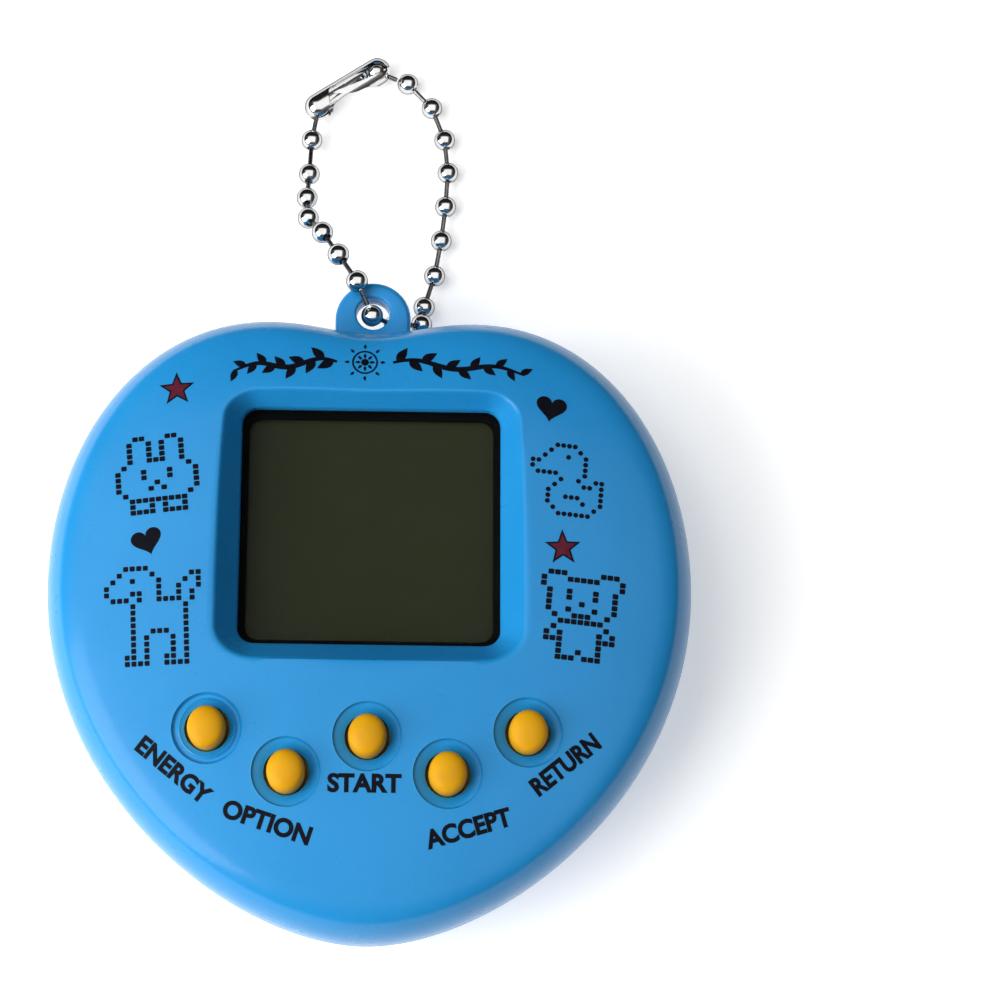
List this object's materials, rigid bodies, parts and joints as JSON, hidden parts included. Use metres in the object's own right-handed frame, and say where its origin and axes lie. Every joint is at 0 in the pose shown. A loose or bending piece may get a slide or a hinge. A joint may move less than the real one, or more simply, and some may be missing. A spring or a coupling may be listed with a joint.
{
  "type": "virtual pet keychain",
  "caption": "Heart-shaped pocket virtual pet toy in blue plastic with a square LCD, a row of domed yellow buttons and a looped metal ball chain.",
  "frame": {"origin": "on the flat rear face, below the middle of the case, 1.5 mm under the centre of the heart outline", "axes": "+Z out of the screen, +Y from the heart's tip to the eyelet, +X to the right of someone who reads the screen"},
  "size_m": [0.06, 0.0891, 0.0187],
  "materials": {
    "case_plastic": "glossy, slightly milky moulded plastic",
    "button_plastic": "satin moulded plastic",
    "window_plastic": "clear thin window",
    "foam": "matte black foam",
    "lcd_glass": "dark olive satin",
    "silver_film": "satin film",
    "rubber": "matte",
    "board_laminate": "satin solder mask",
    "black_resin": "satin",
    "red_insulation": "satin",
    "brass_sheet": "rolled",
    "ceramic_disc": "matte",
    "steel": "plated",
    "chain_chrome": "bright plated"
  },
  "bodies": {
    "case": {"front_shell": "case_plastic", "rear_shell": "case_plastic", "screen_lens": "window_plastic", "screen_gasket": "foam", "lcd_panel": "lcd_glass", "lcd_reflector": "silver_film", "zebra_strip": "rubber", "circuit_board": "board_laminate", "chip_blob": "black_resin", "capacitor": "black_resin", "resistor": "black_resin", "buzzer_plate": "brass_sheet", "buzzer_ceramic": "ceramic_disc", "buzzer_wire_red": "red_insulation", "buzzer_wire_black": "black_resin", "battery_cell_1": "steel", "battery_cell_2": "steel", "contact_minus": "steel", "contact_plus": "steel", "case_screw_1": "steel", "case_screw_2": "steel", "case_screw_3": "steel", "board_screw_1": "steel", "board_screw_2": "steel", "rubber_dome_status": "rubber", "rubber_dome_select": "rubber", "rubber_dome_reset": "rubber", "rubber_dome_decide": "rubber", "rubber_dome_cancel": "rubber"},
    "battery_door": {"battery_door": "case_plastic", "contact_bridge": "steel", "door_screw": "steel"},
    "button_status": {"button_status": "button_plastic"},
    "button_select": {"button_select": "button_plastic"},
    "button_reset": {"button_reset": "button_plastic"},
    "button_decide": {"button_decide": "button_plastic"},
    "button_cancel": {"button_cancel": "button_plastic"},
    "chain_tail": {"chain_bead_01": "chain_chrome", "chain_bead_02": "chain_chrome"},
    "chain_base": {"chain_bead_03": "chain_chrome", "chain_bead_04": "chain_chrome", "chain_bead_05": "chain_chrome", "chain_bead_11": "chain_chrome"},
    "left_strand": {"chain_bead_06": "chain_chrome", "chain_bead_07": "chain_chrome", "chain_bead_08": "chain_chrome", "chain_bead_09": "chain_chrome", "chain_bead_10": "chain_chrome"},
    "right_strand": {"chain_bead_12": "chain_chrome", "chain_bead_13": "chain_chrome", "chain_bead_14": "chain_chrome", "chain_bead_15": "chain_chrome", "chain_bead_16": "chain_chrome", "chain_bead_17": "chain_chrome", "chain_bead_18": "chain_chrome", "chain_bead_19": "chain_chrome"},
    "clasp": {"chain_clasp": "chain_chrome", "chain_bead_20": "chain_chrome"}
  },
  "joints": [
    {"name": "press_status", "type": "slide", "parent": "case", "child": "button_status", "axis": [0, 0, -1], "range_m": [0, 0.0008], "stiffness_N_per_m": 100, "deforming": ["rubber_dome_status"]},
    {"name": "press_select", "type": "slide", "parent": "case", "child": "button_select", "axis": [0, 0, -1], "range_m": [0, 0.0008], "stiffness_N_per_m": 100, "deforming": ["rubber_dome_select"]},
    {"name": "press_reset", "type": "slide", "parent": "case", "child": "button_reset", "axis": [0, 0, -1], "range_m": [0, 0.0008], "stiffness_N_per_m": 100, "deforming": ["rubber_dome_reset"]},
    {"name": "press_decide", "type": "slide", "parent": "case", "child": "button_decide", "axis": [0, 0, -1], "range_m": [0, 0.0008], "stiffness_N_per_m": 100, "deforming": ["rubber_dome_decide"]},
    {"name": "press_cancel", "type": "slide", "parent": "case", "child": "button_cancel", "axis": [0, 0, -1], "range_m": [0, 0.0008], "stiffness_N_per_m": 100, "deforming": ["rubber_dome_cancel"]},
    {"name": "door_lift", "type": "slide", "parent": "case", "child": "battery_door", "axis": [0, 0, -1], "range_m": [0, 0.006]},
    {"name": "chain_swing", "type": "hinge", "parent": "case", "child": "chain_base", "pos_m": [-0.0001, 0.03115, 0.0092], "axis": [1, 0, 0], "range_deg": [0, 40]},
    {"name": "chain_tail_turn", "type": "hinge", "parent": "case", "child": "chain_tail", "pos_m": [-0.0001, 0.03115, 0.0092], "axis": [1, 0, 0], "range_deg": [0, 12]},
    {"name": "left_strand_bend", "type": "hinge", "parent": "chain_base", "child": "left_strand", "pos_m": [-0.00502, 0.0397, 0.0086], "axis": [0, 0, 1], "range_deg": [-12, 20]},
    {"name": "right_strand_bend", "type": "hinge", "parent": "chain_base", "child": "right_strand", "pos_m": [0.00475, 0.032, 0.0037], "axis": [0, 0, 1], "range_deg": [-6.96, 11.6]},
    {"name": "clasp_turn", "type": "hinge", "parent": "left_strand", "child": "clasp", "pos_m": [-0.00577, 0.0556, 0.00145], "axis": [0, 0, 1], "range_deg": [-20, 12]}
  ],
  "couplings": [
    {"joint": "chain_tail_turn", "follows": "chain_swing", "ratio": 0.3},
    {"joint": "right_strand_bend", "follows": "left_strand_bend", "ratio": 0.58},
    {"joint": "clasp_turn", "follows": "left_strand_bend", "ratio": -1}
  ]
}
